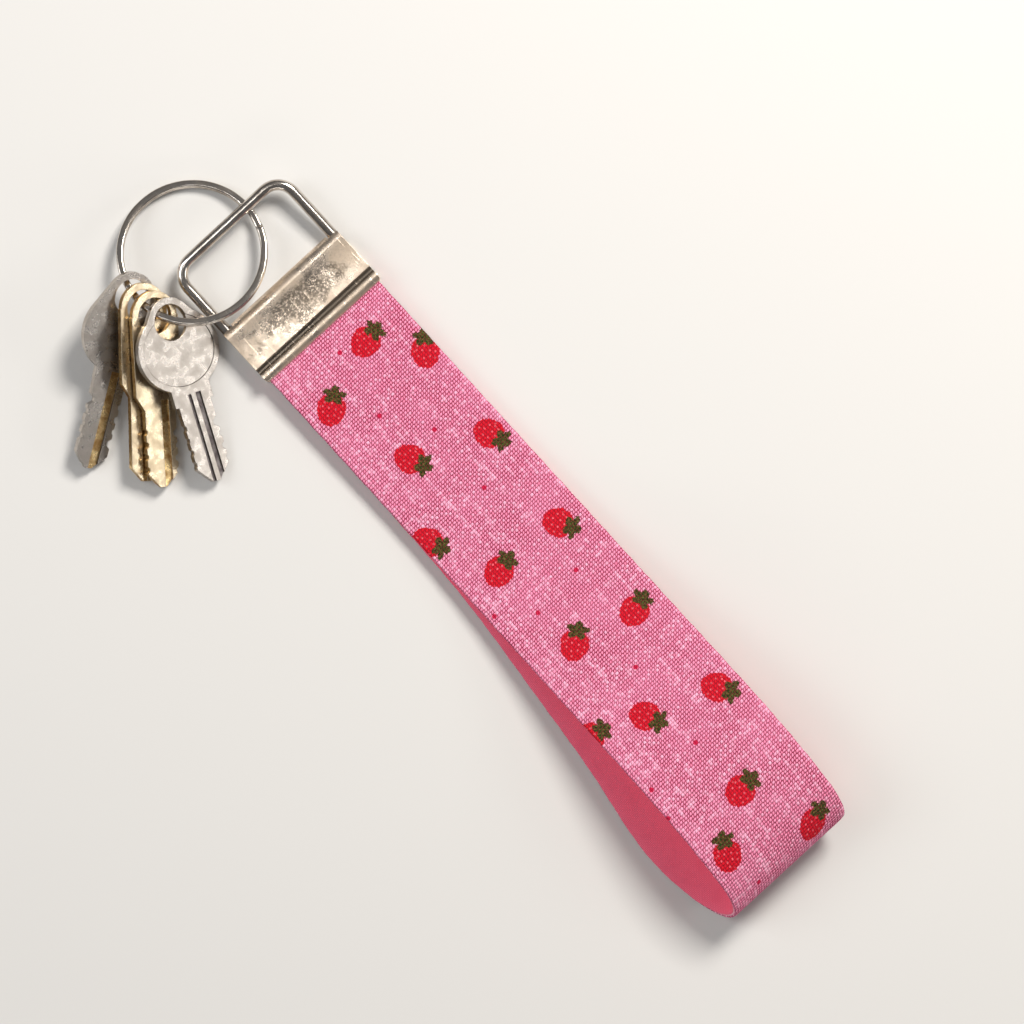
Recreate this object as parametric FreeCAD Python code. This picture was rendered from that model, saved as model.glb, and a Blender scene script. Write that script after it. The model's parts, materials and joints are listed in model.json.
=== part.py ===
"""Wristlet key fob: a folded fabric strap crimped in a sheet-metal clamp, with a wire bail,
a split ring and four keys.

Millimetres. The origin is the centre of the clamp's flat back. +Y points along the object towards
the ring, -Y along the strap, and +Z stands up from the surface that the fob lies on.
"""
import FreeCAD, Part
import math
import os

from FreeCAD import Vector

# ---- driving dimensions -------------------------------------------------------------------------

# clamp: one sheet bent into a hairpin around the bail's inner bar
CLAMP_OVERHANG = 0.7
CLAMP_LENGTH = 14.4
SHEET = 0.8
CREASE_FROM_MOUTH = 2.9
CREASE_DEPTH = 0.5
CREASE_HALF = 0.75
LIP_RISE = 0.15
FACE_DISH = 0.3
CORNER_CUT = 0.6
TOOTH_HEIGHT = 0.35
TOOTH_LENGTH = 1.2
TOOTH_WIDTH = 0.8
TOOTH_PITCH = 3.2

# strap: three layers bonded together, folded in half
STRAP_WIDTH = 30.6
PRINT_LAYER = 0.5
CORE_LAYER = 0.5
LINING_LAYER = 0.5
LOOP_LENGTH = 146.6
LOOP_RISE = 15.6
FOLD_SHIFT = 9.2
BEND_GAP = 1.4
FLOOR_GAP = 0.05
HALVES_GAP = 0.15
ENDS_GAP = 0.05

# bail: a closed rectangle of round wire
BAIL_WIRE = 2.3
BAIL_REACH = 18.0
BAIL_CORNER = 4.3
INNER_CORNER_ROOM = 0.15
ARM_CLEARANCE = 0.35

# split ring: two flat coils of one wire
RING_OUTER = 31.4
COIL_WIDTH = 1.5
COIL_HEIGHT = 0.85
COIL_ROUND = 0.4
RING_BEYOND_BAR = 0.4
RING_HIGH_SIDE = 225.0
RING_END_AT = -8.0
RING_TO_BAR = 0.15

# keys
KEY_SHEET = 1.4
HOLE_ROOM = 2.32
HEAD_RIM = 1.4
KEY_PROP = 5.44
KEY_ROLL = 33.0
KEY_TIP_GAP = 0.15
BOW_CLEARANCE = 0.15
BOW_RIM = 1.3
BOW_RECESS = 0.18
TIP_TAPER = 0.42
GROOVE_DEPTH = 0.45
FIRST_CUT = 5.0
CUT_PITCH = 2.6
CUT_FLOOR = 0.7
BLADE_OVERLAP = 0.5
GROOVE_RUN_IN = 1.5
NOSE_SHARE = 0.12
CHAMFER_SHARE = 0.55

# how far a cutting tool reaches past what it cuts
PAST = 1.0

# Grooves are place across, width and face. KEYS gives each key's gap to the key before it, how far it
# turns past its own place round the ring in degrees, and how far its hole hangs past the wire.
FIRST_KEY_AT = 209.0
RIGHT_KEY = {"bow": 8.8, "bow_wide": 9.7, "bow_at": 6.0, "shoulder": 17.4, "shoulder_width": 9.4,
             "length": 34.3, "width": 7.9, "left_cuts": (0.35, 0.2, 0.3, 0.2, 0.3),
             "right_cuts": (1.1, 0.4, 0.6, 0.45), "grooves": ((-0.7, 0.7, 1), (1.4, 1.2, 1), (0.3, 0.8, -1))}
MIDDLE_KEY = {"bow": 5.4, "shoulder": 19.5, "length": 35.7, "width": 7.2,
              "left_cuts": (0.3, 0.45, 0.3, 0.4), "right_cuts": (0.8, 0.35, 0.6, 0.45),
              "grooves": ((1.2, 1.7, 1), (-0.9, 0.8, -1))}
BACK_KEY = {"bow": 5.4, "shoulder": 18.5, "length": 36.1, "width": 7.0,
            "left_cuts": (), "right_cuts": (0.6, 0.9, 0.5, 0.8),
            "grooves": ((-0.5, 0.9, 1), (0.9, 0.8, -1))}
LEFT_KEY = {"bow": 8.8, "bow_wide": 8.8, "bow_at": 7.6, "shoulder": 18.0, "shoulder_width": 7.6,
            "length": 36.8, "width": 7.2, "left_cuts": (1.1, 0.4, 0.3, 0.45),
            "right_cuts": (0.4, 0.6, 0.35, 0.9), "grooves": ((0.8, 2.0, 1), (-1.2, 0.8, -1))}
KEYS = (("key_right", RIGHT_KEY, 0.0, 34.5, 0.8),
        ("key_middle", MIDDLE_KEY, 0.5, 34.4, 0.8),
        ("key_back", BACK_KEY, 0.16, 43.3, 0.8),
        ("key_left", LEFT_KEY, 0.46, 40.9, 1.0))

# ---- sizes that follow --------------------------------------------------------------------------

strap_thickness = PRINT_LAYER + CORE_LAYER + LINING_LAYER
jaw_gap = 2 * strap_thickness
clamp_width = STRAP_WIDTH + 2 * CLAMP_OVERHANG
clamp_height = jaw_gap + 2 * SHEET
bend_radius = clamp_height / 2
bend_y = CLAMP_LENGTH / 2 - bend_radius
mid_z = clamp_height / 2
mouth_y = -CLAMP_LENGTH / 2

# A key's hole lets both coils of the ring pass through it at a slant.
key_slant = math.radians(KEY_ROLL)
key_hole = 2 * COIL_HEIGHT / math.sin(key_slant) + KEY_SHEET / math.tan(key_slant) + HOLE_ROOM
key_head = key_hole / 2 + HEAD_RIM

# The bail's arms are flush with the clamp's ends.
bail_width = clamp_width
arm_x = (bail_width - BAIL_WIRE) / 2
bail_inner_corner = BAIL_WIRE / 2 + INNER_CORNER_ROOM
slot_start = arm_x - bail_inner_corner - ARM_CLEARANCE / 2

# The ring's high side rests on the keys, which prop it up.
ring_radius = (RING_OUTER - COIL_WIDTH) / 2
ring_tilt = math.asin((KEY_PROP + KEY_SHEET) / (2 * ring_radius))
ring_lowest = COIL_HEIGHT * math.cos(ring_tilt) + COIL_WIDTH / 2 * math.sin(ring_tilt) + FLOOR_GAP
ring_z = ring_lowest + ring_radius * math.sin(ring_tilt)
ring_y = bend_y + BAIL_REACH + RING_BEYOND_BAR


def ring_offset(angle):
    """From the ring's centre to the middle line of its wire, at an angle round it in degrees."""
    along = math.radians(angle)
    uphill = math.radians(RING_HIGH_SIDE)
    climb = ring_radius * math.cos(along - uphill)
    spread = ring_radius * math.sin(along - uphill)
    flat = climb * math.cos(ring_tilt)
    return Vector(flat * math.cos(uphill) - spread * math.sin(uphill),
                  flat * math.sin(uphill) + spread * math.cos(uphill),
                  climb * math.sin(ring_tilt))


def key_axes(sizes, at, turned):
    """Directions along a hanging key, across it and out of its face.

    The key is rolled about its own length so that the ring's wire passes through its hole, and dips
    until the low corner of its tip is just above the surface.
    """
    turn = math.radians(at + turned)
    ahead = Vector(math.cos(turn), math.sin(turn), 0)
    side = Vector(-math.sin(turn), math.cos(turn), 0)
    up = Vector(0, 0, 1)
    corner = KEY_TIP_GAP + sizes["width"] / 2 * math.sin(key_slant) + KEY_SHEET / 2 * math.cos(key_slant)
    reach = sizes["length"] - TIP_TAPER * sizes["width"]
    dip = math.asin((ring_z + ring_offset(at).z - corner) / reach)
    along = ahead * math.cos(dip) - up * math.sin(dip)
    lifted = ahead * math.sin(dip) + up * math.cos(dip)
    across = side * math.cos(key_slant) - lifted * math.sin(key_slant)
    normal = lifted * math.cos(key_slant) + side * math.sin(key_slant)
    return along, across, normal


def bow_reach():
    """How far the first key's bow stands out from the ring's centre, towards the bail."""
    _, sizes, _, turned, hang = KEYS[0]
    along, across, normal = key_axes(sizes, FIRST_KEY_AT, turned)
    middle = ring_offset(FIRST_KEY_AT) + along * (hang + sizes["bow_at"])
    swell = math.hypot(sizes["bow"] * along.x, sizes["bow_wide"] * across.x)
    return middle.x + swell + KEY_SHEET / 2 * abs(normal.x)


# The ring sits as far to the side as lets the first key's bow pass the bail.
ring_x = -bail_width / 2 - BOW_CLEARANCE - bow_reach()

# The bail leans up until its outer bar lies just on top of the ring.
bar_crossing = math.degrees(math.asin(-RING_BEYOND_BAR / ring_radius))
bar_z = ring_z + ring_offset(bar_crossing).z + COIL_HEIGHT + BAIL_WIRE / 2 + RING_TO_BAR
bail_lean = math.degrees(math.asin((bar_z - mid_z) / BAIL_REACH))
bar_y = bend_y + BAIL_REACH * math.cos(math.radians(bail_lean))


# ---- helpers ------------------------------------------------------------------------------------

def arc(first, middle, last):
    return Part.Arc(first, middle, last).toShape()


def line(first, last):
    return Part.LineSegment(first, last).toShape()


def box(low, high):
    size = high - low
    return Part.makeBox(size.x, size.y, size.z, low)


def prism(points, direction):
    """Closed flat polygon through the points, pushed along a vector."""
    return Part.Face(Part.makePolygon(points + [points[0]])).extrude(direction)


def save(name, shape):
    """Writes one piece, and prints its volume and box for a quick check."""
    size = shape.BoundBox
    print(f"{name:14s} solids {len(shape.Solids)} valid {shape.isValid()} volume {shape.Volume:9.2f}"
          f"  x {size.XMin:7.2f} {size.XMax:7.2f}  y {size.YMin:8.2f} {size.YMax:7.2f}"
          f"  z {size.ZMin:6.2f} {size.ZMax:6.2f}")
    shape.exportStep(f"parts/{name}.step")


# ---- clamp --------------------------------------------------------------------------------------

def clamp_outline():
    """Section across the clamp: a hairpin with a crease and a rolled lip on its front jaw."""
    crease_y = mouth_y + CREASE_FROM_MOUTH
    top = clamp_height
    under = clamp_height - SHEET
    dish_end = Vector(0, crease_y + CREASE_HALF, top - FACE_DISH / 3)
    lip_start = Vector(0, crease_y - CREASE_HALF, top - FACE_DISH / 3)
    lip_end = Vector(0, mouth_y, top - SHEET * 0.55)
    inner_mouth = Vector(0, mouth_y, under + SHEET * 0.1)
    bend_top = Vector(0, bend_y, top)
    bend_inner_top = Vector(0, bend_y, under)
    bend_inner_low = Vector(0, bend_y, SHEET)
    bend_low = Vector(0, bend_y, 0)
    edges = [
        arc(bend_top, Vector(0, (bend_y + dish_end.y) / 2, top - FACE_DISH), dish_end),
        arc(dish_end, Vector(0, crease_y, top - CREASE_DEPTH), lip_start),
        arc(lip_start, Vector(0, (lip_start.y + lip_end.y) / 2, top + LIP_RISE), lip_end),
        line(lip_end, inner_mouth),
        line(inner_mouth, bend_inner_top),
        arc(bend_inner_top, Vector(0, bend_y + bend_radius - SHEET, mid_z), bend_inner_low),
        line(bend_inner_low, Vector(0, mouth_y, SHEET)),
        line(Vector(0, mouth_y, SHEET), Vector(0, mouth_y, SHEET * 0.4)),
        arc(Vector(0, mouth_y, SHEET * 0.4), Vector(0, mouth_y + SHEET * 0.12, SHEET * 0.12),
            Vector(0, mouth_y + SHEET * 0.4, 0)),
        line(Vector(0, mouth_y + SHEET * 0.4, 0), bend_low),
        arc(bend_low, Vector(0, bend_y + bend_radius, mid_z), bend_top),
    ]
    return Part.Wire(edges)


def clamp_teeth():
    """Rows of small teeth inside the mouth that bite the strap."""
    teeth = []
    count = int((STRAP_WIDTH - TOOTH_PITCH) / TOOTH_PITCH)
    tooth_y = mouth_y + CREASE_FROM_MOUTH
    for step in range(count + 1):
        x = (step - count / 2) * TOOTH_PITCH
        for root, reach in ((SHEET, TOOTH_HEIGHT), (clamp_height - SHEET, -TOOTH_HEIGHT)):
            base = root - math.copysign(SHEET / 4, reach)
            corners = [Vector(x - TOOTH_WIDTH / 2, tooth_y - TOOTH_LENGTH / 2, base),
                       Vector(x - TOOTH_WIDTH / 2, tooth_y + TOOTH_LENGTH / 2, base),
                       Vector(x - TOOTH_WIDTH / 2, tooth_y, root + reach)]
            teeth.append(prism(corners, Vector(TOOTH_WIDTH, 0, 0)))
    return teeth


def make_clamp():
    half = clamp_width / 2
    body = Part.Face(clamp_outline()).extrude(Vector(clamp_width, 0, 0))
    body.translate(Vector(-half, 0, 0))
    for side in (-1, 1):
        corner = Vector(side * half, mouth_y, -PAST)
        inward = corner - Vector(side * CORNER_CUT, 0, 0)
        onward = corner + Vector(0, CORNER_CUT, 0)
        body = body.cut(prism([corner, inward, onward], Vector(0, 0, clamp_height + 2 * PAST)))
    slot_back = bend_y - BAIL_WIRE / 2 - ARM_CLEARANCE
    slot_top = clamp_height - SHEET * 0.85
    for side in (-1, 1):
        low = min(side * slot_start, side * (half + PAST))
        high = max(side * slot_start, side * (half + PAST))
        slot = box(Vector(low, slot_back, -PAST), Vector(high, bend_y + bend_radius + PAST, slot_top))
        body = body.cut(slot)
    return body.fuse(clamp_teeth()).removeSplitter()


def make_strap_ends():
    """The two crimped ends of the strap, between the jaws as far as the bail's inner bar."""
    back = bend_y - BAIL_WIRE / 2 - ARM_CLEARANCE
    half = STRAP_WIDTH / 2
    ends = box(Vector(-half, mouth_y, SHEET), Vector(half, back, clamp_height - SHEET))
    return ends.cut(clamp_teeth())


# ---- strap --------------------------------------------------------------------------------------

def strap_course():
    """Middle line of the strap, out along its upper half, round the fold and back on the surface.

    Each point gives the distance from the start as a share of the loop, the height of the
    middle layer, and the sideways drift of the strap, which the fold pushes over.
    """
    start = mouth_y - BEND_GAP
    end = mouth_y - LOOP_LENGTH + strap_thickness / 2
    run = end - start
    rest = strap_thickness / 2 + FLOOR_GAP
    stacked = rest + strap_thickness + HALVES_GAP
    top = LOOP_RISE
    upper = [(0.0, mid_z + strap_thickness / 2 + ENDS_GAP, 0.0),
             (0.12, (stacked + mid_z + strap_thickness / 2) / 2, -0.1),
             (0.28, stacked, -0.2),
             (0.42, stacked + 1.0, -0.3),
             (0.58, rest + (top - rest) * 0.42, -0.45),
             (0.74, rest + (top - rest) * 0.79, -0.06 * FOLD_SHIFT),
             (0.86, rest + (top - rest) * 0.985, -0.1 * FOLD_SHIFT),
             (0.94, rest + (top - rest) * 0.93, -0.18 * FOLD_SHIFT),
             (0.985, rest + (top - rest) * 0.72, -0.3 * FOLD_SHIFT)]
    fold = [(1.0, rest + (top - rest) * 0.47, -0.48 * FOLD_SHIFT),
            (0.985, rest + (top - rest) * 0.2, -0.72 * FOLD_SHIFT),
            (0.94, rest + (top - rest) * 0.035, -0.92 * FOLD_SHIFT)]
    lower = [(0.86, rest, -FOLD_SHIFT),
             (0.74, rest, -0.72 * FOLD_SHIFT),
             (0.58, rest, -0.4 * FOLD_SHIFT),
             (0.42, rest, -0.13 * FOLD_SHIFT),
             (0.28, rest, -0.04 * FOLD_SHIFT),
             (0.12, (rest + mid_z - strap_thickness / 2) / 2, -0.1),
             (0.0, mid_z - strap_thickness / 2 - ENDS_GAP, 0.0)]
    return [Vector(drift, start + share * run, height) for share, height, drift in upper + fold + lower]


def strap_stations():
    """Places along the strap's middle surface, each with the direction that faces outwards."""
    course = Part.BSplineCurve()
    course.interpolate(strap_course())
    steps = 48
    stations = []
    for step in range(steps + 1):
        here = course.parameterAtDistance(course.length() * step / steps, course.FirstParameter)
        along = course.tangent(here)[0]
        flat = math.hypot(along.y, along.z)
        out = Vector(0, along.z / flat, -along.y / flat)
        if step in (0, steps):
            out = Vector(0, 0, math.copysign(1, out.z))
        stations.append((course.value(here), out))
    return stations


def strap_edge(offset, side):
    """Curve along the strap at a distance outside its middle surface, on one side of its width."""
    points = [place + out * offset + Vector(side * STRAP_WIDTH / 2, 0, 0)
              for place, out in strap_stations()]
    curve = Part.BSplineCurve()
    curve.interpolate(points, Parameters=[float(step) for step in range(len(points))])
    return curve.toShape()


def make_layer(outer, inner):
    """One layer of the strap, between two distances outside its middle surface."""
    rails = [strap_edge(outer, -1), strap_edge(outer, 1), strap_edge(inner, 1), strap_edge(inner, -1)]
    faces = [Part.makeRuledSurface(rails[n], rails[(n + 1) % 4], 1) for n in range(4)]
    for end in (0, 1):
        corners = [rail.Vertexes[end].Point for rail in rails]
        faces.append(Part.Face(Part.makePolygon(corners + [corners[0]])))
    shell = Part.makeShell(faces)
    shell.sewShape()
    solid = Part.Solid(Part.Shell(shell.Faces))
    solid = solid if solid.Volume > 0 else solid.reversed()
    return solid


# ---- bail ---------------------------------------------------------------------------------------

def rod(first, last, radius):
    way = last - first
    return Part.makeCylinder(radius, way.Length, first, way)


def elbow(centre, bend, radius, start):
    """Quarter of a torus in the XY plane, from a start angle."""
    quarter = Part.makeTorus(bend, radius, Vector(0, 0, 0), Vector(0, 0, 1), -180, 180, 90)
    quarter.rotate(Vector(0, 0, 0), Vector(0, 0, 1), start)
    quarter.translate(centre)
    return quarter


def make_bail():
    """Closed wire rectangle, drawn flat from the tunnel's axis and then leaned up."""
    radius = BAIL_WIRE / 2
    outer = BAIL_CORNER
    inner = bail_inner_corner
    pieces = [
        rod(Vector(-arm_x + inner, 0, 0), Vector(arm_x - inner, 0, 0), radius),
        rod(Vector(-arm_x + outer, BAIL_REACH, 0), Vector(arm_x - outer, BAIL_REACH, 0), radius),
        rod(Vector(-arm_x, inner, 0), Vector(-arm_x, BAIL_REACH - outer, 0), radius),
        rod(Vector(arm_x, inner, 0), Vector(arm_x, BAIL_REACH - outer, 0), radius),
        elbow(Vector(arm_x - outer, BAIL_REACH - outer, 0), outer, radius, 0),
        elbow(Vector(-arm_x + outer, BAIL_REACH - outer, 0), outer, radius, 90),
        elbow(Vector(-arm_x + inner, inner, 0), inner, radius, 180),
        elbow(Vector(arm_x - inner, inner, 0), inner, radius, 270),
    ]
    bail = pieces[0].fuse(pieces[1:])
    bail.rotate(Vector(0, 0, 0), Vector(1, 0, 0), bail_lean)
    bail.translate(Vector(0, bend_y, mid_z))
    return bail


# ---- split ring ---------------------------------------------------------------------------------

def coil_section(angle, height):
    """Rounded rectangle across the ring's wire, at an angle round the ring."""
    low = Vector(ring_radius - COIL_WIDTH / 2, 0, height)
    plate = Part.makePlane(COIL_WIDTH, COIL_HEIGHT, low, Vector(0, -1, 0), Vector(1, 0, 0))
    block = plate.extrude(Vector(0, 1, 0))
    long_edges = [e for e in block.Edges if e.BoundBox.YLength > 0.5]
    block = block.makeFillet(COIL_ROUND, long_edges)
    face = [f for f in block.Faces if f.BoundBox.YLength < 0.01 and abs(f.CenterOfMass.y) < 0.01][0]
    section = face.OuterWire.copy()
    section.rotate(Vector(0, 0, 0), Vector(0, 0, 1), angle)
    return section


def coil(start, turn, height):
    """One flat turn of the ring's wire."""
    return Part.Face(coil_section(start, height)).revolve(Vector(0, 0, 0), Vector(0, 0, 1), turn)


def place_on_ring(shape):
    """Moves a shape from the ring's own plane to where the ring lies."""
    high = math.radians(RING_HIGH_SIDE)
    hinge = Vector(math.sin(high), -math.cos(high), 0)
    shape.rotate(Vector(0, 0, 0), hinge, math.degrees(ring_tilt))
    shape.translate(Vector(ring_x, ring_y, ring_z))
    return shape


def make_ring():
    """Two turns: the lower one climbs to the upper one beside the free ends."""
    climb = 8.0
    gap = 4.0
    low = coil(RING_END_AT + climb + gap, 360 - 2 * climb - gap, -COIL_HEIGHT)
    high = coil(RING_END_AT + climb, 360 - 2 * climb - gap, 0)
    ramp = [coil_section(RING_END_AT - climb, -COIL_HEIGHT),
            coil_section(RING_END_AT - climb / 2, -COIL_HEIGHT * 0.85),
            coil_section(RING_END_AT, -COIL_HEIGHT / 2),
            coil_section(RING_END_AT + climb / 2, -COIL_HEIGHT * 0.15),
            coil_section(RING_END_AT + climb, 0)]
    ring = low.fuse([high, Part.makeLoft(ramp, True, True)])
    return place_on_ring(ring)


# ---- keys ---------------------------------------------------------------------------------------

def disc(radius):
    return Part.makeCylinder(radius, KEY_SHEET, Vector(0, 0, -KEY_SHEET / 2))


def oval(half_length, half_width, u, depth=KEY_SHEET, lift=0.0):
    """Oval plate centred on the key's length; either half may be the longer one."""
    middle = Vector(u, 0, lift - depth / 2)
    if math.isclose(half_length, half_width):
        return Part.makeCylinder(half_length, depth, middle)
    ahead = Vector(u + half_length, 0, middle.z)
    aside = Vector(u, half_width, middle.z)
    first, second = (ahead, aside) if half_length > half_width else (aside, ahead)
    curve = Part.Ellipse(first, second, middle)
    return Part.Face(Part.Wire([curve.toShape()])).extrude(Vector(0, 0, depth))


def bar(start, end, width, lift=0.0, depth=KEY_SHEET):
    """Flat bar along the key, centred on its length."""
    return box(Vector(start, -width / 2, lift - depth / 2), Vector(end, width / 2, lift + depth / 2))


def plate(points):
    """Flat plate of the key's thickness, from places along and across it."""
    return prism([Vector(u, v, -KEY_SHEET / 2) for u, v in points], Vector(0, 0, KEY_SHEET))


def round_bow(bow, bow_wide, bow_at, shoulder, shoulder_width):
    """Wide bow with a sunk field inside its rim, and straight flanks up to the head."""
    lean = math.asin((bow - key_head) / bow_at)
    flank = [(bow_at - bow * math.sin(lean), bow * math.cos(lean)),
             (-key_head * math.sin(lean), key_head * math.cos(lean))]
    cheek = plate(flank + [(u, -v) for u, v in reversed(flank)])
    neck = bar(bow_at, shoulder, shoulder_width)
    blank = disc(key_head).fuse([oval(bow, bow_wide, bow_at), cheek, neck])
    fields = [oval(bow - BOW_RIM, bow_wide - BOW_RIM, bow_at, 2 * BOW_RECESS, side * KEY_SHEET / 2)
              for side in (-1, 1)]
    return blank.cut(fields)


def slim_bow(bow, shoulder, width):
    """Narrow bow with straight sides and chamfered shoulders."""
    chamfer = shoulder - bow * CHAMFER_SHARE
    return disc(key_head).fuse(plate([(0, -bow), (chamfer, -bow), (shoulder, -width / 2),
                                         (shoulder, width / 2), (chamfer, bow), (0, bow)]))


def notches(start, depths, width, side):
    """Bitting cuts: V notches with flat floors along one edge of the blade."""
    cuts = []
    for step, depth in enumerate(depths):
        u = start + step * CUT_PITCH
        edge = side * (width / 2 + 0.01)
        floor = side * (width / 2 - depth)
        half = CUT_FLOOR / 2
        slope = half + depth * 0.8
        points = [(u - slope, edge), (u - half, floor), (u + half, floor), (u + slope, edge)]
        cuts.append(prism([Vector(a, b, -KEY_SHEET) for a, b in points], Vector(0, 0, 2 * KEY_SHEET)))
    return cuts


def blade(start, length, width):
    """Blade with a pointed tip."""
    taper = length - TIP_TAPER * width
    nose = width * NOSE_SHARE
    return plate([(start, -width / 2), (taper, -width / 2), (length, -nose), (length, nose),
                  (taper, width / 2), (start, width / 2)])


def make_key(shoulder, length, width, left_cuts, right_cuts, grooves, bow, bow_wide=None, bow_at=None,
             shoulder_width=None):
    """One key lying flat, its hole at the origin and its tip along +X."""
    if bow_wide:
        blank = round_bow(bow, bow_wide, bow_at, shoulder, shoulder_width)
    else:
        blank = slim_bow(bow, shoulder, width)
    start = shoulder - BLADE_OVERLAP
    tools = notches(start + FIRST_CUT, left_cuts, width, -1)
    tools += notches(start + FIRST_CUT + CUT_FLOOR, right_cuts, width, 1)
    for place, wide, side in grooves:
        groove = bar(start - GROOVE_RUN_IN, length + PAST, wide, side * KEY_SHEET / 2, 2 * GROOVE_DEPTH)
        groove.translate(Vector(0, place, 0))
        tools.append(groove)
    tools.append(Part.makeCylinder(key_hole / 2, 2 * KEY_SHEET, Vector(0, 0, -KEY_SHEET)))
    return blank.fuse(blade(start, length, width)).removeSplitter().cut(tools)


def hang_key(key, sizes, at, turned, hang):
    """Hangs a key on the ring at an angle round it, its tip down on the surface."""
    along, across, normal = key_axes(sizes, at, turned)
    hole = Vector(ring_x, ring_y, ring_z) + ring_offset(at) + along * hang
    key.Placement = FreeCAD.Placement(FreeCAD.Matrix(along.x, across.x, normal.x, hole.x,
                                                     along.y, across.y, normal.y, hole.y,
                                                     along.z, across.z, normal.z, hole.z,
                                                     0, 0, 0, 1))
    return key


def make_keys():
    """The four keys, in the order that they sit on the ring from the bail outwards."""
    keys = {}
    at = FIRST_KEY_AT
    for name, sizes, gap, turned, hang in KEYS:
        if keys:
            at -= math.degrees((KEY_SHEET + gap) / math.sin(key_slant) / ring_radius)
        keys[name] = hang_key(make_key(**sizes), sizes, at, turned, hang)
    return keys


# ---- all the pieces -----------------------------------------------------------------------------

def main():
    os.makedirs("parts", exist_ok=True)
    save("clamp", make_clamp())
    save("strap_ends", make_strap_ends())
    half = strap_thickness / 2
    save("strap_print", make_layer(half, half - PRINT_LAYER))
    save("strap_core", make_layer(half - PRINT_LAYER, LINING_LAYER - half))
    save("strap_lining", make_layer(LINING_LAYER - half, -half))
    save("bail", make_bail())
    save("split_ring", make_ring())
    for name, key in make_keys().items():
        save(name, key)
    print(f"bail: axis y {bend_y:.3f} z {mid_z:.3f}, bar y {bar_y:.3f} z {bar_z:.3f}, lean {bail_lean:.2f}")
    print(f"ring: centre {ring_x:.3f} {ring_y:.3f} {ring_z:.3f}, tilt {math.degrees(ring_tilt):.3f}")
    print(f"strap bend: y {mouth_y - BEND_GAP:.3f} z {mid_z:.3f}")


main()
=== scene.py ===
# %% [markdown]
# A wristlet key fob: a printed canvas strap folded into a loop, crimped in a nickel-plated clamp,
# with a wire bail, a split ring and four keys. The CAD model is loaded first and stays as it is.
# Everything that is added here is in metres, in the same frame.

# %% Load the frame
import json
import math

import bpy
import numpy as np
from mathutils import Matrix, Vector

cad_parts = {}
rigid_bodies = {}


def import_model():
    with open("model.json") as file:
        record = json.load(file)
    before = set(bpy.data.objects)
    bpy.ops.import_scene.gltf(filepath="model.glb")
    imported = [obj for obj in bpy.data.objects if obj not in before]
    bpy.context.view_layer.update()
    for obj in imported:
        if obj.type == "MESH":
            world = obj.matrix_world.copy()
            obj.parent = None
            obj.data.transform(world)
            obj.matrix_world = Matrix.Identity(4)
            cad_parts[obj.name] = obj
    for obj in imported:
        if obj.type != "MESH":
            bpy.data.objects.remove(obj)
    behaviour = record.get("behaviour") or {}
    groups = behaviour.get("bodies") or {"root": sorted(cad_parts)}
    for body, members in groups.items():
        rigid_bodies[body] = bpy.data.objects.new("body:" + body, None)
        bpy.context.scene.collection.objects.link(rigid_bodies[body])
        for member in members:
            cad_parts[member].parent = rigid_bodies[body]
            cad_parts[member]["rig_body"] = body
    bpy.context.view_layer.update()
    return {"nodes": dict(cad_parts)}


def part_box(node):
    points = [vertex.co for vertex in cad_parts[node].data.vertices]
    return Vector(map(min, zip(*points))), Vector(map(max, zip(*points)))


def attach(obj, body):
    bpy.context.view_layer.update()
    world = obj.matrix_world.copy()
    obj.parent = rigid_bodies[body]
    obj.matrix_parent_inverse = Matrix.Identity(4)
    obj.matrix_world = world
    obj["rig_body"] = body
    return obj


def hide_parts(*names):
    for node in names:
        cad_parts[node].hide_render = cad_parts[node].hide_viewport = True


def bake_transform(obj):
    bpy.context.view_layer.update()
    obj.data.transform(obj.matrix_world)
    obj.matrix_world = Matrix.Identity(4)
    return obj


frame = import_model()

MM = 0.001
bpy.ops.object.select_all(action="DESELECT")

# %% [markdown]
# The camera looks straight down on the fob, turned so that the strap runs from the upper left to the
# lower right. A long lens keeps the edges of flat things parallel, as they look from far above.
# The floor is a plain pale sheet, and five soft lights stand round it: a square key light, a large
# fill, and three long strips that give the wires and the clamp their bright lines. Each strip is moved
# off the straight line above, because flat plating would mirror it and turn white all over. The plain
# Standard view is set, so that a pink or red dye looks as strong as the colour that it is given.

# %% Camera, floor and lights
VIEW_CENTRE = Vector((3.2, -61.1, 0)) * MM
VIEW_WIDTH = 213.3 * MM
CAMERA_HEIGHT = 0.9
SENSOR = 36.0
view_right = Vector((0.7357, -0.6771, 0)).normalized()
view_up = Vector((0.6771, 0.7357, 0)).normalized()


def make_camera():
    data = bpy.data.cameras.new("camera")
    data.sensor_width = SENSOR
    data.lens = SENSOR * CAMERA_HEIGHT / VIEW_WIDTH
    data.clip_start = 0.01
    camera = bpy.data.objects.new("camera", data)
    bpy.context.scene.collection.objects.link(camera)
    camera.location = VIEW_CENTRE + Vector((0, 0, CAMERA_HEIGHT))
    camera.rotation_euler = (0, 0, math.atan2(view_right.y, view_right.x))
    bpy.context.scene.camera = camera


def make_area(name, place, target, size, power, colour):
    data = bpy.data.lights.new(name, "AREA")
    data.shape = "RECTANGLE"
    data.size, data.size_y = size
    data.energy = power
    data.color = colour
    lamp = bpy.data.objects.new(name, data)
    bpy.context.scene.collection.objects.link(lamp)
    lamp.location = place
    lamp.rotation_euler = (Vector(target) - Vector(place)).to_track_quat("-Z", "Y").to_euler()


def from_view(right, up, height):
    """Place above the middle of the view, measured along the view's right and up."""
    return VIEW_CENTRE + view_right * right + view_up * up + Vector((0, 0, height))


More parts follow.
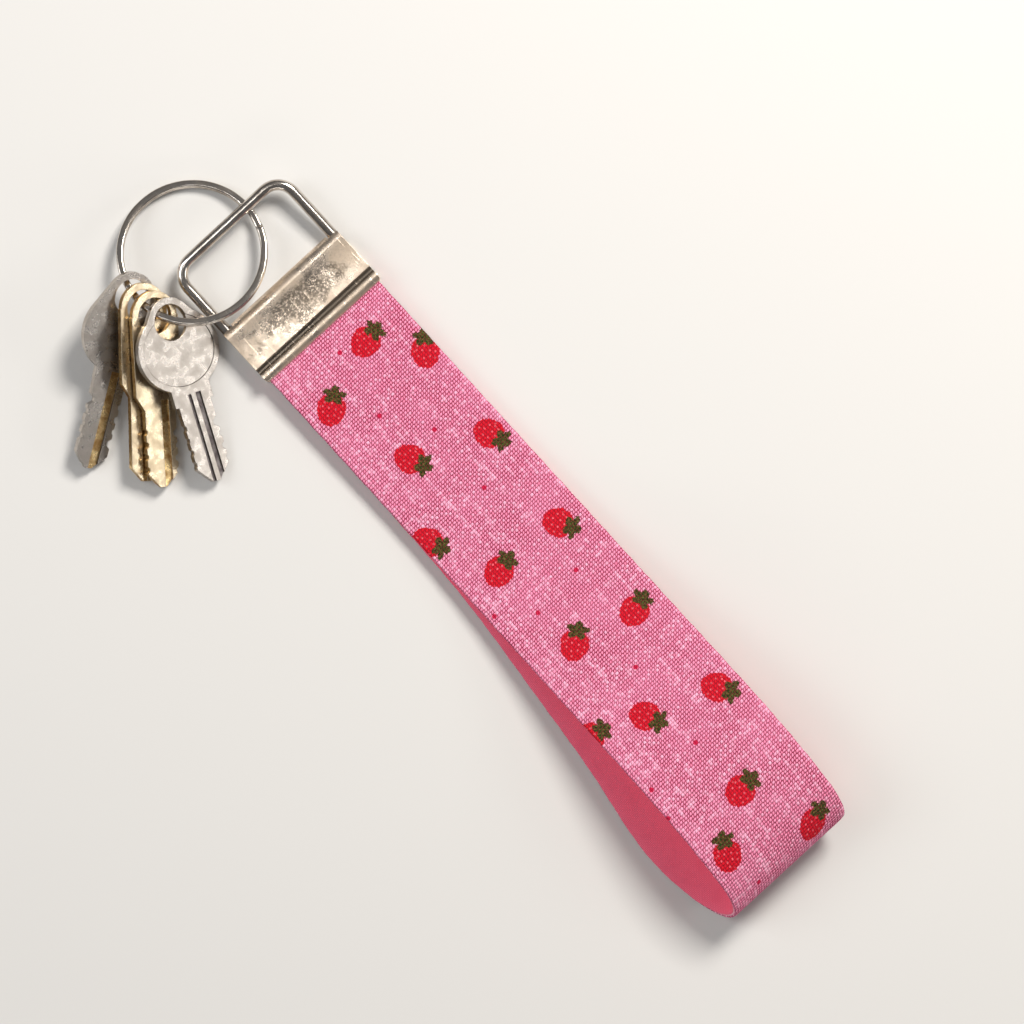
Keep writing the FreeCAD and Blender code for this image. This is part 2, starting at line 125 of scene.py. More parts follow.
# Each light: its place along the view's right and up and its height, its size, power and colour.
LIGHTS = {"key_light": ((0.30, 0.50, 0.62), (0.26, 0.26), 9.2, (1.0, 0.97, 0.93)),
          "fill_light": ((-0.7, 0.1, 0.6), (0.5, 0.5), 3.0, (0.95, 0.97, 1.0)),
          "top_strip": ((-0.34, 0.22, 1.1), (0.14, 0.7), 1.6, (1.0, 1.0, 1.0)),
          "side_strip": ((0.75, -0.05, 0.36), (0.5, 0.16), 1.1, (1.0, 0.99, 0.97)),
          "low_strip": ((0.1, -0.8, 0.30), (0.8, 0.10), 1.1, (1.0, 0.97, 0.92))}
make_camera()
for light, (place, size, power, colour) in LIGHTS.items():
    make_area(light, from_view(*place), VIEW_CENTRE, size, power, colour)
print("lights", list(LIGHTS))

world = bpy.data.worlds.new("studio")
bpy.context.scene.world = world
world.use_nodes = True
world.node_tree.nodes["Background"].inputs["Color"].default_value = (0.50, 0.50, 0.52, 1)
world.node_tree.nodes["Background"].inputs["Strength"].default_value = 0.30

bpy.context.scene.view_settings.view_transform = "Standard"

bpy.ops.mesh.primitive_plane_add(size=4, location=(0, 0, 0))
floor = bpy.context.object
floor.name = "floor"
floor_finish = bpy.data.materials.new("floor_paper")
floor_finish.use_nodes = True
floor_shader = floor_finish.node_tree.nodes["Principled BSDF"]
floor_shader.inputs["Base Color"].default_value = (0.60, 0.585, 0.56, 1)
floor_shader.inputs["Roughness"].default_value = 0.9
floor.data.materials.append(floor_finish)

# %% [markdown]
# Materials are graphs of nodes. Drawing one by hand means adding a node, setting it and joining it to
# the next. This small class does the same three things in code, so that each finish reads as a recipe.
# Patterns that more than one finish needs are node groups, built once: weave, mottling and scratches.

# %% A helper to draw node graphs


class Graph:
    """A node tree with short ways to add nodes and join them."""

    def __init__(self, tree):
        self.tree = tree
        self.nodes = tree.nodes

    def feed(self, socket, value):
        if isinstance(value, bpy.types.NodeSocket):
            self.tree.links.new(value, socket)
        elif value is not None:
            socket.default_value = value

    def add(self, kind, inputs=None, **settings):
        made = self.nodes.new(kind)
        for name, value in settings.items():
            setattr(made, name, value)
        for name, value in (inputs or {}).items():
            self.feed(made.inputs[name], value)
        return made

    def math(self, operation, first, second=None, clamp=False):
        made = self.nodes.new("ShaderNodeMath")
        made.operation = operation
        made.use_clamp = clamp
        self.feed(made.inputs[0], first)
        self.feed(made.inputs[1], second)
        return made.outputs[0]

    def ramp(self, value, low, high, to_low=0.0, to_high=1.0):
        """Smooth step from one value to another."""
        made = self.add("ShaderNodeMapRange", {"Value": value, "From Min": low, "From Max": high,
                                               "To Min": to_low, "To Max": to_high},
                        interpolation_type="SMOOTHSTEP")
        return made.outputs["Result"]

    def blend(self, share, first, second, way="MIX"):
        made = self.nodes.new("ShaderNodeMix")
        made.data_type = "RGBA"
        made.blend_type = way
        self.feed(made.inputs["Factor"], share)
        self.feed(made.inputs["A"], first if isinstance(first, bpy.types.NodeSocket) else (*first, 1))
        self.feed(made.inputs["B"], second if isinstance(second, bpy.types.NodeSocket) else (*second, 1))
        return [s for s in made.outputs if s.type == "RGBA"][0]

    def noise(self, vector, scale, detail=2.0, rough=0.5):
        made = self.add("ShaderNodeTexNoise", {"Vector": vector, "Scale": scale, "Detail": detail,
                                               "Roughness": rough})
        return made.outputs["Fac"]

    def group(self, tree, inputs):
        made = self.nodes.new("ShaderNodeGroup")
        made.node_tree = tree
        for name, value in inputs.items():
            self.feed(made.inputs[name], value)
        return made.outputs


def new_group(name, inputs, outputs):
    """Node group with named inputs and outputs; returns its graph, the inputs' and outputs' nodes."""
    tree = bpy.data.node_groups.new(name, "ShaderNodeTree")
    for title, kind, value in inputs:
        socket = tree.interface.new_socket(title, in_out="INPUT", socket_type=kind)
        if value is not None:
            socket.default_value = value
    for title, kind in outputs:
        tree.interface.new_socket(title, in_out="OUTPUT", socket_type=kind)
    graph = Graph(tree)
    return graph, graph.add("NodeGroupInput").outputs, graph.add("NodeGroupOutput").inputs


def new_material(name):
    made = bpy.data.materials.new(name)
    made.use_nodes = True
    graph = Graph(made.node_tree)
    return made, graph, graph.nodes["Principled BSDF"].inputs


FLOAT, VECTOR, COLOUR = "NodeSocketFloat", "NodeSocketVector", "NodeSocketColor"

# %% [markdown]
# The strap is canvas: thick yarns in a plain weave, over one and under the next. Each crossing shows
# as a small oval cushion, and neighbours are turned a quarter against each other. The group takes a
# place on the cloth in millimetres and a pitch. It puts out a height, a mask for the gaps, and a tone
# that changes from yarn to yarn, because real yarns are never dyed or spun quite the same.

# %% Weave group


def build_weave():
    graph, given, result = new_group(
        "plain_weave",
        [("Cloth", VECTOR, None), ("Pitch", FLOAT, 0.7), ("Unevenness", FLOAT, 0.12),
         ("Slant", FLOAT, 0.0)],
        [("Height", FLOAT), ("Gap", FLOAT), ("Tone", FLOAT)])
    wander = graph.add("ShaderNodeTexNoise", {"Vector": given["Cloth"], "Scale": 0.55, "Detail": 2.0})
    drift = graph.add("ShaderNodeVectorMath", {0: wander.outputs["Color"], 1: (0.5, 0.5, 0.5)},
                      operation="SUBTRACT")
    scaled = graph.add("ShaderNodeVectorMath", {0: drift.outputs[0], "Scale": given["Unevenness"]},
                       operation="SCALE")
    place = graph.add("ShaderNodeVectorMath", {0: given["Cloth"], 1: scaled.outputs[0]}, operation="ADD")
    parts = graph.add("ShaderNodeSeparateXYZ", {0: place.outputs[0]})
    across = graph.math("DIVIDE", parts.outputs["X"], given["Pitch"])
    along = graph.math("DIVIDE", parts.outputs["Y"], given["Pitch"])
    slant = graph.math("MULTIPLY", graph.math("SUBTRACT", graph.math("FRACT", along), 0.5), given["Slant"])
    leaned = graph.math("ADD", graph.math("FRACT", across), slant, clamp=True)
    hump_across = graph.math("SINE", graph.math("MULTIPLY", leaned, math.pi))
    hump_along = graph.math("SINE", graph.math("MULTIPLY", graph.math("FRACT", along), math.pi))
    cell_across = graph.math("FLOOR", across)
    cell_along = graph.math("FLOOR", along)
    odd = graph.math("FLOORED_MODULO", graph.math("ADD", cell_across, cell_along), 2.0)
    weft = graph.math("MULTIPLY", graph.math("POWER", hump_along, 0.8),
                      graph.math("POWER", hump_across, 0.45))
    warp = graph.math("MULTIPLY", graph.math("POWER", hump_across, 0.9),
                      graph.math("POWER", hump_along, 0.5))
    warp = graph.math("MULTIPLY", warp, 0.62)
    height = graph.math("ADD", graph.math("MULTIPLY", weft, odd),
                        graph.math("MULTIPLY", warp, graph.math("SUBTRACT", 1.0, odd)))
    weft_tone = graph.add("ShaderNodeTexWhiteNoise", {"W": cell_along}, noise_dimensions="1D")
    warp_tone = graph.add("ShaderNodeTexWhiteNoise", {"W": graph.math("ADD", cell_across, 71.3)},
                          noise_dimensions="1D")
    cell = graph.add("ShaderNodeCombineXYZ", {"X": cell_across, "Y": cell_along})
    cell_tone = graph.add("ShaderNodeTexWhiteNoise", {"Vector": cell.outputs[0]}, noise_dimensions="3D")
    yarn = graph.math("ADD", graph.math("MULTIPLY", weft_tone.outputs["Value"], odd),
                      graph.math("MULTIPLY", warp_tone.outputs["Value"], graph.math("SUBTRACT", 1.0, odd)))
    tone = graph.math("ADD", graph.math("MULTIPLY", yarn, 0.45),
                      graph.math("MULTIPLY", cell_tone.outputs["Value"], 0.55))
    graph.feed(result["Height"], height)
    graph.feed(result["Gap"], graph.ramp(height, 0.15, 0.62, 1.0, 0.0))
    graph.feed(result["Tone"], tone)
    return graph.tree


weave = build_weave()

# %% [markdown]
# The printed motif is a strawberry: a rounded, slightly pointed body with pale seeds, and a leafy top.
# One group draws it from a place measured from the middle of its body, with +Y towards the leaves.
# The strap's mesh carries a UV map that gives every face that place for its nearest berry, so the
# group is worked out once and appears as often as the print has berries.

# %% Berry group
BERRY_HALF_WIDE = 3.0
BERRY_HALF_TALL = 3.25
LEAF_CENTRE = 3.3
LEAF_LOBES = 5


def build_berry():
    graph, given, result = new_group(
        "berry_motif", [("Place", VECTOR, None), ("Cloth", VECTOR, None)],
        [("Body", FLOAT), ("Seeds", FLOAT), ("Leaves", FLOAT), ("Shade", FLOAT)])
    ragged = graph.add("ShaderNodeTexNoise", {"Vector": given["Cloth"], "Scale": 1.9, "Detail": 2.0})
    shift = graph.add("ShaderNodeVectorMath", {0: ragged.outputs["Color"], 1: (0.5, 0.5, 0.5)},
                      operation="SUBTRACT")
    eased = graph.add("ShaderNodeVectorMath", {0: shift.outputs[0], "Scale": 1.1}, operation="SCALE")
    place = graph.add("ShaderNodeVectorMath", {0: given["Place"], 1: eased.outputs[0]}, operation="ADD")
    parts = graph.add("ShaderNodeSeparateXYZ", {0: place.outputs[0]})
    x, y = parts.outputs["X"], parts.outputs["Y"]
    tall = graph.math("DIVIDE", y, BERRY_HALF_TALL)
    taper = graph.math("ADD", 1.0, graph.math("MULTIPLY", tall, 0.14))
    wide = graph.math("DIVIDE", x, graph.math("MULTIPLY", taper, BERRY_HALF_WIDE))
    reach = graph.math("ADD", graph.math("POWER", graph.math("ABSOLUTE", wide), 2.1),
                       graph.math("POWER", graph.math("ABSOLUTE", tall), 2.1))
    body = graph.ramp(reach, 0.94, 1.06, 1.0, 0.0)
    spread = graph.add("ShaderNodeMapping", {"Vector": given["Place"], "Scale": (1.0, 0.85, 1.0)})
    dots = graph.add("ShaderNodeTexVoronoi", {"Vector": spread.outputs[0], "Scale": 0.85,
                                              "Randomness": 0.6}, voronoi_dimensions="2D")
    seeds = graph.ramp(dots.outputs["Distance"], 0.10, 0.24, 1.0, 0.0)
    inside = graph.ramp(reach, 0.62, 0.8, 1.0, 0.0)
    leaf_y = graph.math("SUBTRACT", y, LEAF_CENTRE)
    leaf_tall = graph.math("MULTIPLY", leaf_y, 1.3)
    angle = graph.math("ARCTAN2", x, leaf_tall)
    radius = graph.math("SQRT", graph.math("ADD", graph.math("MULTIPLY", x, x),
                                           graph.math("MULTIPLY", leaf_tall, leaf_tall)))
    points = graph.math("ABSOLUTE", graph.math("COSINE", graph.math("MULTIPLY", angle, LEAF_LOBES / 2)))
    edge = graph.math("ADD", 1.35, graph.math("MULTIPLY", graph.math("POWER", points, 0.9), 1.25))
    leaves = graph.ramp(graph.math("SUBTRACT", radius, edge), -0.12, 0.14, 1.0, 0.0)
    graph.feed(result["Body"], body)
    graph.feed(result["Seeds"], graph.math("MULTIPLY", seeds, inside))
    graph.feed(result["Leaves"], leaves)
    graph.feed(result["Shade"], graph.noise(given["Cloth"], 2.2, 2.0, 0.6))
    return graph.tree


berry = build_berry()

# %% [markdown]
# The metals are all nickel or nickel silver, but none is clean. Plating that is handled every day gets
# cloudy patches, fine grain and thin scratches. One group makes these three masks from a place on the
# object, and each metal uses them at its own strength.

# %% Worn metal group


def build_worn_metal():
    graph, given, result = new_group(
        "worn_metal", [("Place", VECTOR, None), ("Patch size", FLOAT, 0.004)],
        [("Patches", FLOAT), ("Grain", FLOAT), ("Scratches", FLOAT)])
    size = graph.math("DIVIDE", 1.0, given["Patch size"])
    patches = graph.add("ShaderNodeTexNoise", {"Vector": given["Place"], "Scale": size, "Detail": 5.0,
                                               "Roughness": 0.62})
    grain = graph.add("ShaderNodeTexNoise", {"Vector": given["Place"],
                                             "Scale": graph.math("MULTIPLY", size, 14.0), "Detail": 3.0,
                                             "Roughness": 0.7})
    masks = []
    for turn in (0.35, 1.9):
        line = graph.add("ShaderNodeMapping", {"Vector": given["Place"], "Rotation": (0, 0, turn),
                                               "Scale": (2600.0, 110.0, 600.0)})
        streak = graph.add("ShaderNodeTexNoise", {"Vector": line.outputs[0], "Scale": 1.0, "Detail": 1.0})
        masks.append(graph.ramp(streak.outputs["Fac"], 0.69, 0.74))
    graph.feed(result["Patches"], graph.ramp(patches.outputs["Fac"], 0.34, 0.66))
    graph.feed(result["Grain"], grain.outputs["Fac"])
    graph.feed(result["Scratches"], graph.math("MAXIMUM", masks[0], masks[1]))
    return graph.tree


worn_metal = build_worn_metal()

# %% [markdown]
# The first metal is the clamp's satin nickel, warm and cloudy in the middle of its face, where a grainy
# patch is darkened as wear and as painted dark reflection, and with painted shade along its crease. The
# wires are the same plating left bright. Each finish below is one Principled shader; the group's masks
# only change its colour and roughness and give it a little bump.

# %% Metal finishes


def metal(name, bright, dull, patch_size, smooth, rough, grain_bump, shade_and_wear=None):
    """Plated metal; an optional mask darkens its colour, for painted shade and painted reflection, and for
    wear.
    """
    made, graph, shader = new_material(name)
    place = graph.add("ShaderNodeTexCoord").outputs["Object"]
    marks = graph.group(worn_metal, {"Place": place, "Patch size": patch_size})
    tone = graph.blend(marks["Patches"], bright, dull)
    tone = graph.blend(graph.ramp(marks["Grain"], 0.5, 0.72, 0.0, 0.45), tone, [v * 0.62 for v in dull])
    # Painted shade and painted reflection, with some wear: the optional mask darkens the colour towards a
    # fifth of the dull tone.
    if shade_and_wear:
        tone = graph.blend(shade_and_wear(graph, place, marks["Grain"]), tone, [v * 0.2 for v in dull])
    tone = graph.blend(graph.math("MULTIPLY", marks["Scratches"], 0.5), tone, [v * 1.15 for v in bright])
    graph.feed(shader["Base Color"], tone)
    shader["Metallic"].default_value = 1.0
    haze = graph.ramp(marks["Patches"], 0.0, 1.0, smooth, rough)
    haze = graph.math("ADD", haze, graph.math("MULTIPLY", marks["Grain"], 0.08))
    graph.feed(shader["Roughness"], haze)
    relief = graph.math("SUBTRACT", marks["Grain"], graph.math("MULTIPLY", marks["Scratches"], 0.5))
    bump = graph.add("ShaderNodeBump", {"Height": relief, "Strength": grain_bump, "Distance": 0.00006})
    graph.feed(shader["Normal"], bump.outputs[0])
    return made


# Where the clamp is painted darker: its crease as painted shade, the middle of its face as painted dark
# reflection and wear.
CREASE_Y = -4.3 * MM
CREASE_HALF = 0.75 * MM
FACE_MIDDLE_Y = 0.9 * MM
PATCH_REACH_X = 0.013
PATCH_REACH_Y = 0.0036


def clamp_shade_and_wear(graph, place, grain):
    """Painted shade in the crease, and a dull grainy patch in the middle of the pressed face, darkened as
    wear and as painted dark reflection.
    """
    parts = graph.add("ShaderNodeSeparateXYZ", {0: place})
    from_crease = graph.math("ABSOLUTE", graph.math("SUBTRACT", parts.outputs["Y"], CREASE_Y))
    # Painted shade: the crease is darkened along its length.
    crease = graph.ramp(from_crease, CREASE_HALF * 0.55, CREASE_HALF * 1.35, 0.92, 0.0)
    centred = graph.add("ShaderNodeMapping", {"Vector": place,
                                              "Location": (0, -FACE_MIDDLE_Y / PATCH_REACH_Y, 0),
                                              "Scale": (1 / PATCH_REACH_X, 1 / PATCH_REACH_Y, 0)})
    away = graph.add("ShaderNodeVectorMath", {0: centred.outputs[0]}, operation="LENGTH").outputs["Value"]
    fray = graph.ramp(graph.noise(place, 260.0, 4.0, 0.65), 0.3, 0.7, -0.45, 0.45)
    ragged_edge = graph.math("ADD", away, fray)
    # Part wear, part painted dark reflection of the dished face: a grainy patch darkened in the middle of
    # the face.
    patch = graph.math("MULTIPLY", graph.ramp(ragged_edge, 0.45, 1.25, 0.85, 0.0),
                       graph.ramp(grain, 0.32, 0.54))
    return graph.math("MAXIMUM", crease, patch)


clamp_nickel = metal("clamp_nickel", (0.90, 0.75, 0.60), (0.62, 0.50, 0.38), 0.0065, 0.20, 0.36, 0.4,
                     shade_and_wear=clamp_shade_and_wear)
wire_nickel = metal("wire_nickel", (0.70, 0.64, 0.57), (0.42, 0.37, 0.32), 0.004, 0.10, 0.18, 0.12)
key_nickel = metal("key_nickel", (0.52, 0.475, 0.43), (0.44, 0.395, 0.35), 0.0022, 0.22, 0.32, 0.22)
key_brass = metal("key_brass", (0.76, 0.63, 0.44), (0.60, 0.48, 0.32), 0.0022, 0.22, 0.32, 0.22)
bare_brass = metal("bare_brass", (0.84, 0.62, 0.31), (0.36, 0.20, 0.07), 0.0016, 0.22, 0.36, 0.4)
# Painted shade: a dark nickel for the right key's grooves, whose floors would lie in shadow.
groove_painted_shade = metal("groove_painted_shade", (0.26, 0.23, 0.22), (0.11, 0.09, 0.09), 0.002, 0.3, 0.5, 0.4)
# Painted shade: a near-black nickel for the step walls inside the keys' bow rims.
rim_painted_shade = metal("rim_painted_shade", (0.16, 0.14, 0.12), (0.09, 0.08, 0.07), 0.003, 0.4, 0.6, 0.4)

# %% [markdown]
# The clamp, the bail, the ring and the keys already have their real shape in CAD, but sheet metal and
# wire never have a mathematically sharp edge: stamping and tumbling round it by a tenth of a
# millimetre, and that round edge is what catches the light. So each one is copied and its loose
# triangles are merged; the clamp and the keys also have their flat faces joined and a small bevel
# applied, while the bail and the ring are only smoothed. The copy then stands for the CAD piece and
# rides with the same body.

# %% Metal pieces


def eased_copy(node, name, width, segments, finishes, smooth_angle):
    """Copy of a CAD piece, its edges rounded when a width is given, wearing its own finish."""
    source = frame["nodes"][node]
    piece = bpy.data.objects.new(name, source.data.copy())
    bpy.context.scene.collection.objects.link(piece)
    piece.data.materials.clear()
    for finish in finishes:
        piece.data.materials.append(finish)
    bpy.ops.object.select_all(action="DESELECT")
    bpy.context.view_layer.objects.active = piece
    piece.select_set(True)
    bpy.ops.object.mode_set(mode="EDIT")
    bpy.ops.mesh.select_all(action="SELECT")
    bpy.ops.mesh.remove_doubles(threshold=0.000002)
    if width:
        bpy.ops.mesh.dissolve_limited(angle_limit=math.radians(0.6))
    bpy.ops.object.mode_set(mode="OBJECT")
    if width:
        bevel = piece.modifiers.new("eased edges", "BEVEL")
        bevel.width = width
        bevel.segments = segments
        bevel.limit_method = "ANGLE"
        bevel.angle_limit = math.radians(28)
        bevel.use_clamp_overlap = True
        bpy.ops.object.modifier_apply(modifier=bevel.name)
    bpy.ops.object.shade_smooth_by_angle(angle=math.radians(smooth_angle))
    even = piece.modifiers.new("flat faces stay flat", "WEIGHTED_NORMAL")
    even.weight = 100
    even.keep_sharp = True
    bpy.ops.object.modifier_apply(modifier=even.name)
    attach(piece, source["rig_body"])
    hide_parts(node)
    print(name, len(piece.data.polygons), "faces")
    return piece


clamp_piece = eased_copy("clamp", "clamp_shell", 0.16 * MM, 3, [clamp_nickel], 50)
bail_piece = eased_copy("bail", "bail_wire", 0, 0, [wire_nickel], 60)
ring_piece = eased_copy("split_ring", "ring_coils", 0, 0, [wire_nickel], 40)

# %% [markdown]
# The two brass keys are plated, and their milled grooves and cut edges go through the plating, so these
# show bare brass. The left key's groove does too. The right key is nickel silver right through; its
# grooves are painted a dark nickel as shade. A face of the mesh says by its direction and its depth
# under the key's face what it is: a groove's floor or wall, the step inside the bow's rim, which is
# painted near black as shade, or the key's edge. Each kind is given the material slot it should wear.

# %% Keys
GROOVE_FROM, LINE_TO = 0.28 * MM, 0.24 * MM
FIELD_FROM = 0.12 * MM
WALL_FROM, WALL_TO = 0.14 * MM, 0.36 * MM
RIM_INSIDE = 0.2 * MM
PLATE, GROOVE, EDGE, RIM_LINE = range(4)


def measured_faces(mesh):
    """Middles, directions and areas of a mesh's faces."""
    count = len(mesh.polygons)
    middles, directions, areas = np.empty(count * 3), np.empty(count * 3), np.empty(count)
    mesh.polygons.foreach_get("center", middles)
    mesh.polygons.foreach_get("normal", directions)
    mesh.polygons.foreach_get("area", areas)
    return middles.reshape(-1, 3), directions.reshape(-1, 3), areas


def cut_key(node, plating, groove, edge):
    """A key whose grooves, edges and rim line wear their own finishes."""
    piece = eased_copy(node, node + "_cut", 0.10 * MM, 2, [plating, groove, edge, rim_painted_shade], 45)
    middles, directions, areas = measured_faces(piece.data)
    flat_way = directions[np.argmax(areas)]
    height = middles @ flat_way
    top, bottom = height.max(), height.min()
    depth = np.minimum(top - height, height - bottom)
    facing = np.abs(directions @ flat_way)
    sunk = (facing > 0.97) & (depth > FIELD_FROM) & (depth < LINE_TO)
    kind = np.full(len(areas), PLATE, dtype=np.int32)
    kind[(facing < 0.85) & (depth > LINE_TO)] = EDGE
    kind[(facing > 0.9) & (depth > GROOVE_FROM)] = GROOVE
    kind[(facing < 0.9) & (depth > WALL_FROM) & (depth < WALL_TO)] = GROOVE
    if sunk.any():
        centre = (middles[sunk] * areas[sunk, None]).sum(axis=0) / areas[sunk].sum()
        inward = np.einsum("ij,ij->i", middles - centre, directions) < -RIM_INSIDE
        # The step walls inside the bow's rim get the near-black painted shade.
        kind[(facing < 0.93) & (depth < LINE_TO) & inward] = RIM_LINE
    piece.data.polygons.foreach_set("material_index", kind)
    piece.data.update()
    print(node, "plate, groove, edge, line faces", [int((kind == n).sum()) for n in range(4)])
    return piece


key_right = cut_key("key_right", key_nickel, groove_painted_shade, key_nickel)
key_middle = cut_key("key_middle", key_brass, bare_brass, bare_brass)
key_back = cut_key("key_back", key_brass, bare_brass, bare_brass)
key_left = cut_key("key_left", key_nickel, bare_brass, key_nickel)

# %% [markdown]
# The strap is one long strip of three layers, folded in half. Its middle line is a smooth curve through
# a few points: out of the clamp along the upper half, round the fold and back along the surface. The
# points are the same that the CAD model was built on. Each gives the share of the loop's run, the
# height and the sideways drift, in millimetres. A natural cubic spline joins them.

# %% The strap's course
clamp_low, clamp_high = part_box("clamp")
print_low, print_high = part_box("strap_print")
MOUTH_Y = clamp_low[1] / MM
START_Y = print_high[1] / MM
THICKNESS = 1.5
FOLD_Y = print_low[1] / MM + THICKNESS / 2
STRAP_WIDTH = 30.6
MID_Z = 2.3
FLOOR_GAP = 0.05
HALVES_GAP = 0.15
ENDS_GAP = 0.05
REST_Z = THICKNESS / 2 + FLOOR_GAP
STACKED_Z = REST_Z + THICKNESS + HALVES_GAP
LOOP_RISE = 15.6
FOLD_SHIFT = 9.2
RISE = LOOP_RISE - REST_Z
HOLD = THICKNESS / 2 + ENDS_GAP
UPPER = [(0.0, MID_Z + HOLD, 0.0), (0.12, (STACKED_Z + MID_Z + THICKNESS / 2) / 2, -0.1),
         (0.28, STACKED_Z, -0.2), (0.42, STACKED_Z + 1.0, -0.3), (0.58, REST_Z + RISE * 0.42, -0.45),
         (0.74, REST_Z + RISE * 0.79, -0.06 * FOLD_SHIFT), (0.86, REST_Z + RISE * 0.985, -0.1 * FOLD_SHIFT),
         (0.94, REST_Z + RISE * 0.93, -0.18 * FOLD_SHIFT), (0.985, REST_Z + RISE * 0.72, -0.3 * FOLD_SHIFT)]
FOLD = [(1.0, REST_Z + RISE * 0.47, -0.48 * FOLD_SHIFT), (0.985, REST_Z + RISE * 0.2, -0.72 * FOLD_SHIFT),
        (0.94, REST_Z + RISE * 0.035, -0.92 * FOLD_SHIFT)]
LOWER = [(0.86, REST_Z, -FOLD_SHIFT), (0.74, REST_Z, -0.72 * FOLD_SHIFT), (0.58, REST_Z, -0.4 * FOLD_SHIFT),
         (0.42, REST_Z, -0.13 * FOLD_SHIFT), (0.28, REST_Z, -0.04 * FOLD_SHIFT),
         (0.12, (REST_Z + MID_Z - THICKNESS / 2) / 2, -0.1), (0.0, MID_Z - HOLD, 0.0)]
INSIDE_CLAMP = 7.0


def course_points():
    run = FOLD_Y - START_Y
    loop = [(drift, START_Y + share * run, height) for share, height, drift in UPPER + FOLD + LOWER]
    first = (0.0, START_Y + INSIDE_CLAMP, MID_Z + THICKNESS / 2)
    last = (0.0, START_Y + INSIDE_CLAMP, MID_Z - THICKNESS / 2)
    return np.array([first] + loop + [last])


def natural_spline(knots, values, where):
    """Smooth curve through values at the knots, with straight ends."""
    gaps = np.diff(knots)
    size = len(knots)
    matrix = np.eye(size)
    right = np.zeros_like(values)
    for n in range(1, size - 1):
        matrix[n, n - 1:n + 2] = gaps[n - 1], 2 * (gaps[n - 1] + gaps[n]), gaps[n]
        right[n] = 3 * ((values[n + 1] - values[n]) / gaps[n] - (values[n] - values[n - 1]) / gaps[n - 1])
    curve = np.linalg.solve(matrix, right)
    n = np.clip(np.searchsorted(knots, where) - 1, 0, size - 2)
    gap = gaps[n][:, None]
    step = (where - knots[n])[:, None]
    slope = (values[n + 1] - values[n]) / gap - gap * (2 * curve[n] + curve[n + 1]) / 3
    bend = (curve[n + 1] - curve[n]) / (3 * gap)
    return values[n] + slope * step + curve[n] * step ** 2 + bend * step ** 3


def even_course(count):
    """Evenly spaced places along the middle line, their outward directions and the whole length."""
    points = course_points()
    knots = np.concatenate([[0.0], np.cumsum(np.linalg.norm(np.diff(points, axis=0), axis=1))])
    fine = natural_spline(knots, points, np.linspace(0, knots[-1], 6000))
    lengths = np.concatenate([[0.0], np.cumsum(np.linalg.norm(np.diff(fine[:, 1:], axis=0), axis=1))])
    even = np.linspace(0, lengths[-1], count)
    places = np.stack([np.interp(even, lengths, fine[:, axis]) for axis in range(3)], axis=1)
    ahead = np.gradient(places[:, 1:], axis=0)
    ahead /= np.linalg.norm(ahead, axis=1)[:, None]
    outward = np.stack([np.zeros(count), ahead[:, 1], -ahead[:, 0]], axis=1)
    return places, outward, lengths[-1]


strap_length = even_course(600)[2]
print("strap cut length", round(strap_length, 1), "mm")

# %% [markdown]
# The strip is a flat grid at its cut size. Its flat place is kept as a UV map in millimetres, which the
# weave follows, and then every vertex is laid along the course. A second UV map gives each face its
# place measured from the nearest berry, turned so that the leaves point along +Y, and a third does
# the same for the small dots. The print goes on past the fold, so the list is used again underneath.

# %% The print's layout
# Berries: across the strap, along the strap from the clamp's mouth, and the way the leaves point.
BERRIES = [(4.6, 7.4, 3.5, -0.6), (12.5, 17.4, 2.0, -2.6), (-10.1, 13.0, 3.1, -2.3),
           (-4.8, 31.3, 1.8, 4.2), (10.9, 38.5, 1.5, 4.2), (-13.8, 46.5, 1.7, 3.5),
           (-7.1, 61.3, 3.9, -0.8), (9.0, 61.9, 2.0, 3.8), (-5.6, 83.4, 3.1, -2.2),
           (8.2, 86.6, 3.9, -1.0), (-4.6, 104.1, 1.7, 3.6), (10.3, 109.8, 1.8, 3.1),
           (-16.2, 99.8, 3.6, 0.6), (-0.2, 128.8, 3.7, -0.4), (7.5, 144.3, 3.7, -1.8),
           (-10.5, 136.8, 1.6, -3.7)]
DOTS = [(-0.7, 5.4), (-3.4, 20.6), (3.1, 30.4), (2.6, 46.3), (5.2, 71.9), (-6.6, 73.1), (-13.8, 67.5),
        (0.8, 95.4), (-0.5, 115.4), (-13.7, 116.4), (-15.0, 123.0), (-8.2, 145.8)]
REPEAT = 158.0
FIRST_BERRY_FROM = START_Y + INSIDE_CLAMP - MOUTH_Y


def laid_out(marks):
    """The marks over the whole strip, in its own flat millimetres."""
    return [(mark[0], mark[1] + FIRST_BERRY_FROM + copy * REPEAT, *mark[2:])
            for copy in (0, 1) for mark in marks]


def nearest_mark_map(mesh, name, marks, flat, turned):
    """UV map that measures every face corner from the mark nearest to the face's middle."""
    layer = mesh.uv_layers.new(name=name)
    centres = np.array([mark[:2] for mark in marks])
    corner_vertex = np.empty(len(mesh.loops), dtype=np.int64)
    mesh.loops.foreach_get("vertex_index", corner_vertex)
    values = np.empty((len(mesh.loops), 2))
    for face in mesh.polygons:
        corners = slice(face.loop_start, face.loop_start + face.loop_total)
        spots = flat[corner_vertex[corners]]
        which = int(np.argmin(np.sum((centres - spots.mean(axis=0)) ** 2, axis=1)))
        away = spots - centres[which]
        if turned:
            up = np.array(marks[which][2:]) / np.linalg.norm(marks[which][2:])
            away = np.stack([away[:, 0] * up[1] - away[:, 1] * up[0],
                             away[:, 0] * up[0] + away[:, 1] * up[1]], axis=1)
        values[corners] = away
    layer.data.foreach_set("uv", values.ravel())


# %% Lay one layer of the strip


def ragged(positions, size, phase):
    """Small uneven wave along an edge, the same each time."""
    return size * (np.sin(positions * 0.9 + phase) + 0.6 * np.sin(positions * 2.3 + 2 * phase)
                   + 0.4 * np.sin(positions * 5.1 + 3 * phase)) / 2


EDGE_STARTS, EDGE_SHARE, EDGE_THINNING = 0.955, 0.045, 0.22
SOFT_EDGE = 0.16 * MM


